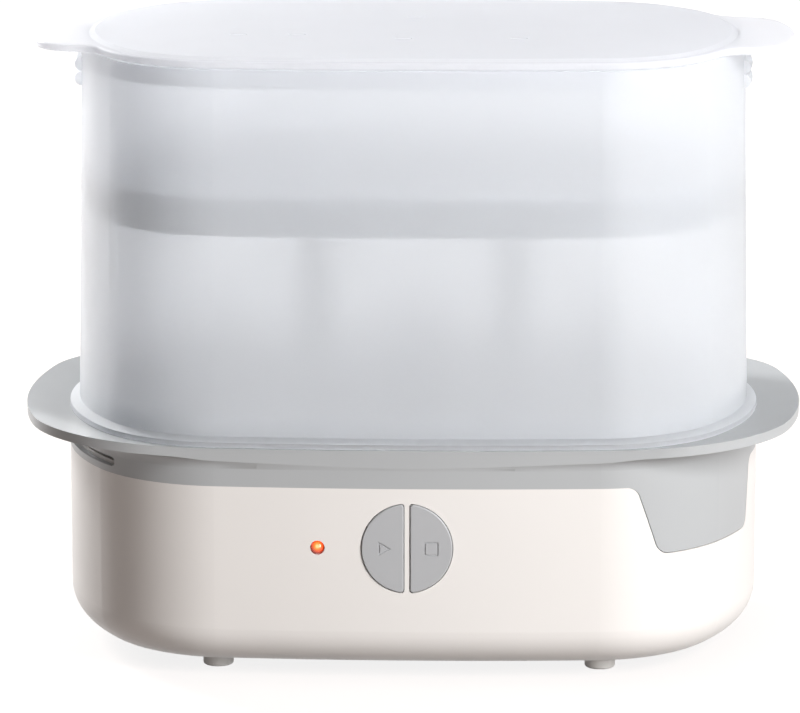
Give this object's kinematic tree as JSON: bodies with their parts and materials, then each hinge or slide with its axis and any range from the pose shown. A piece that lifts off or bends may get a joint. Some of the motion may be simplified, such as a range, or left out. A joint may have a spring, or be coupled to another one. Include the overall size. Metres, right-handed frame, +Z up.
{
  "type": "steam sterilizer",
  "caption": "Oval electric steam sterilizer: base with start and stop buttons and water basin, frosted lift-off tub with bottle rack and upper basket, and eared lid.",
  "frame": {"origin": "on the table, under the middle of the base", "axes": "+X to the right as seen from the front, -Y towards the front with the buttons, +Z up"},
  "size_m": [0.3086, 0.1807, 0.2436],
  "materials": {
    "tub": "frosted, translucent",
    "lid": "frosted, translucent",
    "inserts": "satin",
    "collar": "satin",
    "base": "semi-gloss",
    "button": "semi-gloss",
    "lamp": "glowing amber lens",
    "steel": "brushed",
    "element": "cast",
    "nickel": "plated",
    "rubber": "matt",
    "feet": "matt",
    "silicone": "matt",
    "board": "satin",
    "dark": "satin",
    "natural": "satin"
  },
  "bodies": {
    "base": {"basin_collar": "collar", "base_shell": "base", "bottom_pan": "base", "feet": "feet", "case_screws": "nickel", "heating_dish": "steel", "dish_seal": "silicone", "heating_element": "element", "dish_clamp": "steel", "clamp_nut": "nickel", "thermostat": "dark", "thermal_fuse": "natural", "fuse_clip": "steel", "start_switch": "dark", "stop_switch": "dark", "indicator_lamp": "lamp", "lamp_spacer": "natural", "control_board": "board", "relay": "dark", "capacitor": "dark", "board_bracket": "natural", "board_screws": "nickel", "bracket_screws": "nickel", "terminal_block": "natural", "cord_gland": "rubber"},
    "tub": {"tub": "tub"},
    "rack": {"bottle_rack": "inserts"},
    "basket": {"upper_basket": "inserts"},
    "lid": {"lid": "lid"},
    "start_button": {"start_button": "button", "start_plunger": "dark"},
    "stop_button": {"stop_button": "button", "stop_plunger": "dark"}
  },
  "joints": [
    {"name": "tub_lift", "type": "slide", "parent": "base", "child": "tub", "axis": [0, 0, 1], "range_m": [0, 0.1]},
    {"name": "rack_lift", "type": "slide", "parent": "tub", "child": "rack", "axis": [0, 0, 1], "range_m": [0, 0.155]},
    {"name": "basket_lift", "type": "slide", "parent": "rack", "child": "basket", "axis": [0, 0, 1], "range_m": [0, 0.08]},
    {"name": "lid_lift", "type": "slide", "parent": "basket", "child": "lid", "axis": [0, 0, 1], "range_m": [0, 0.1]},
    {"name": "start_press", "type": "slide", "parent": "base", "child": "start_button", "axis": [0, 1, 0], "range_m": [0, 0.0012], "stiffness_N_per_m": 1500},
    {"name": "stop_press", "type": "slide", "parent": "base", "child": "stop_button", "axis": [0, 1, 0], "range_m": [0, 0.0012], "stiffness_N_per_m": 1500}
  ]
}
